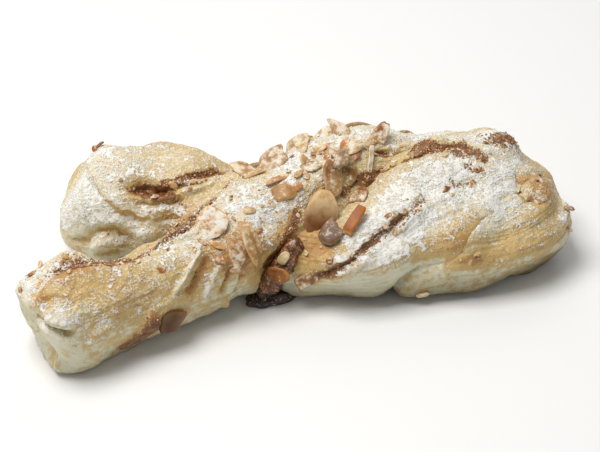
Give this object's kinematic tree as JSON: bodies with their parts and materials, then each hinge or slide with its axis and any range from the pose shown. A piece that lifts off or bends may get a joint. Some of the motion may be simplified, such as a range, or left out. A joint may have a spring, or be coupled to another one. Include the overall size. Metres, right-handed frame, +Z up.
{
  "type": "almond puff pastry",
  "caption": "Baked puff pastry twist of crossed folded strips, with brown almond filling in the open folds and sliced almonds baked on the crossing.",
  "frame": {"origin": "on the surface the pastry rests on, under the middle of its bounding box", "axes": "+X along the twist from its open ends to its looped end, +Z up"},
  "size_m": [0.206, 0.0958, 0.0504],
  "materials": {
    "pastry": "baked laminated dough, pale cream sides, golden tops, dry and flaky",
    "filling": "brown almond filling, moist satin",
    "leak": "dark caramelised filling, glossy",
    "almond": "toasted sliced almond, satin"
  },
  "bodies": {
    "root": {"almond_01": "almond", "almond_02": "almond", "almond_03": "almond", "almond_04": "almond", "almond_05": "almond", "almond_06": "almond", "almond_07": "almond", "almond_08": "almond", "almond_09": "almond", "almond_10": "almond", "almond_11": "almond", "almond_12": "almond", "almond_13": "almond", "almond_14": "almond", "almond_15": "almond", "almond_16": "almond", "almond_17": "almond", "almond_18": "almond", "almond_19": "almond", "almond_20": "almond", "almond_21": "almond", "almond_22": "almond", "almond_23": "almond", "almond_24": "almond", "almond_25": "almond", "almond_26": "almond", "almond_27": "almond", "almond_28": "almond", "almond_29": "almond", "almond_30": "almond", "almond_31": "almond", "almond_32": "almond", "almond_33": "almond", "pastry": "pastry", "filling_leak": "leak", "filling_front": "filling", "filling_back_left": "filling", "filling_back_right": "filling"}
  },
  "joints": []
}
